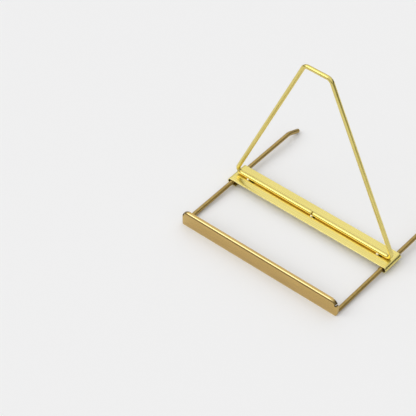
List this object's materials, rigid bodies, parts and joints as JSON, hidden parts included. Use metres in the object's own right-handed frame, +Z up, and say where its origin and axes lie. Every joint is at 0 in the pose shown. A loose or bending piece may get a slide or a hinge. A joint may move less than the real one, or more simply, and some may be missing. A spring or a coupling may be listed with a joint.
{
  "type": "photo album stand",
  "caption": "Wire display stand with a front lip plate and an upright support loop that slides along two parallel rails to hold a photo album.",
  "frame": {"origin": "middle of the stand's footprint on the table, halfway between the lip plate's face and the tips of the rear feet", "axes": "+Z up, +Y to the rear along the rails, +X to the right of a person who looks at the stand from the front"},
  "size_m": [0.132, 0.1192, 0.1288],
  "materials": {
    "antique_brass_wire": "drawn wire, satin, dull antique brass",
    "antique_brass_sheet": "brushed along its length, satin, antique brass",
    "solder": "dull solder",
    "bright_brass_sheet": "brushed along its length, bright lemon brass",
    "bright_brass_wire": "drawn wire, bright lemon brass",
    "weld": "pale plated weld bead"
  },
  "bodies": {
    "base": {"base_wire": "antique_brass_wire", "lip_plate": "antique_brass_sheet", "lip_solder": "solder"},
    "slider": {"slider_plate": "bright_brass_sheet", "support_wire": "bright_brass_wire", "support_welds": "weld"}
  },
  "joints": [
    {"name": "slider_slide", "type": "slide", "parent": "base", "child": "slider", "axis": [0, 0.9993, 0.0384], "range_m": [-0.02, 0.04]}
  ]
}
